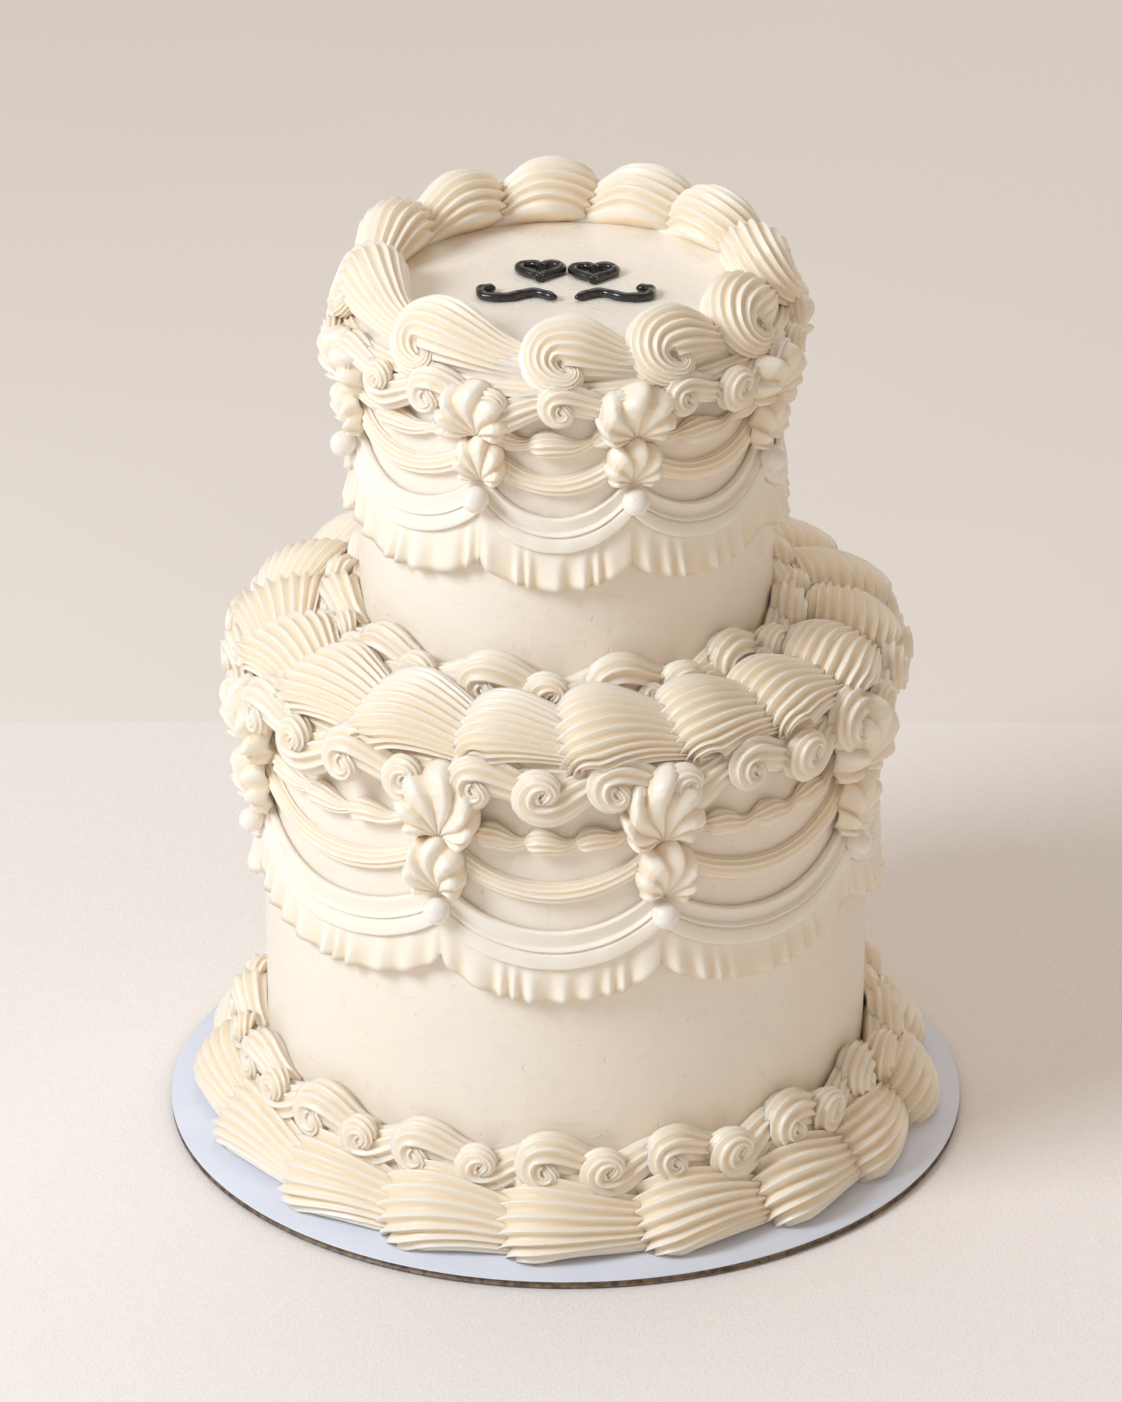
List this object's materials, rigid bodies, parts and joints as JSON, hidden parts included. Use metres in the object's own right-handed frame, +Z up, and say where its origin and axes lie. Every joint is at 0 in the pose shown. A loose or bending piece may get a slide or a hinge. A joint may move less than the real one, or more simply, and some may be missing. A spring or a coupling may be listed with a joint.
{
  "type": "lambeth cake",
  "caption": "Two-tier round cake with over-piped shell borders, sagging garlands, strings, ribbons and frills, shell drops with pearls, and dark piping on top, on a round card board.",
  "frame": {"origin": "centre of the underside of the board, on the axis of both tiers", "axes": "+Z up along the axis of the tiers, -Y towards the shown side, +X to its right"},
  "size_m": [0.2032, 0.2032, 0.2333],
  "materials": {
    "icing": "soft matt buttercream with a slight sheen",
    "card": "coated paper over brown corrugated card",
    "pearl": "pearly sugar",
    "dark_icing": "glossy gel icing"
  },
  "bodies": {
    "root": {"board": "card", "lower_tier": "icing", "upper_tier": "icing", "foot_shells": "icing", "foot_curls": "icing", "lower_top_curls": "icing", "lower_edge_shells": "icing", "waist_curls": "icing", "shelf_curls": "icing", "upper_top_curls": "icing", "upper_edge_shells": "icing", "lower_frill": "icing", "lower_ribbon": "icing", "lower_string": "icing", "lower_garland": "icing", "lower_drop_1": "icing", "lower_drop_2": "icing", "lower_drop_3": "icing", "lower_drop_4": "icing", "lower_drop_5": "icing", "lower_drop_6": "icing", "lower_drop_7": "icing", "lower_drop_8": "icing", "lower_pearl_1": "pearl", "lower_pearl_2": "pearl", "lower_pearl_3": "pearl", "lower_pearl_4": "pearl", "lower_pearl_5": "pearl", "lower_pearl_6": "pearl", "lower_pearl_7": "pearl", "lower_pearl_8": "pearl", "upper_frill": "icing", "upper_ribbon": "icing", "upper_string": "icing", "upper_garland": "icing", "upper_drop_1": "icing", "upper_drop_2": "icing", "upper_drop_3": "icing", "upper_drop_4": "icing", "upper_drop_5": "icing", "upper_drop_6": "icing", "upper_drop_7": "icing", "upper_drop_8": "icing", "upper_pearl_1": "pearl", "upper_pearl_2": "pearl", "upper_pearl_3": "pearl", "upper_pearl_4": "pearl", "upper_pearl_5": "pearl", "upper_pearl_6": "pearl", "upper_pearl_7": "pearl", "upper_pearl_8": "pearl", "motif_heart_left": "dark_icing", "motif_heart_right": "dark_icing", "motif_scroll_left": "dark_icing", "motif_scroll_right": "dark_icing"}
  },
  "joints": []
}
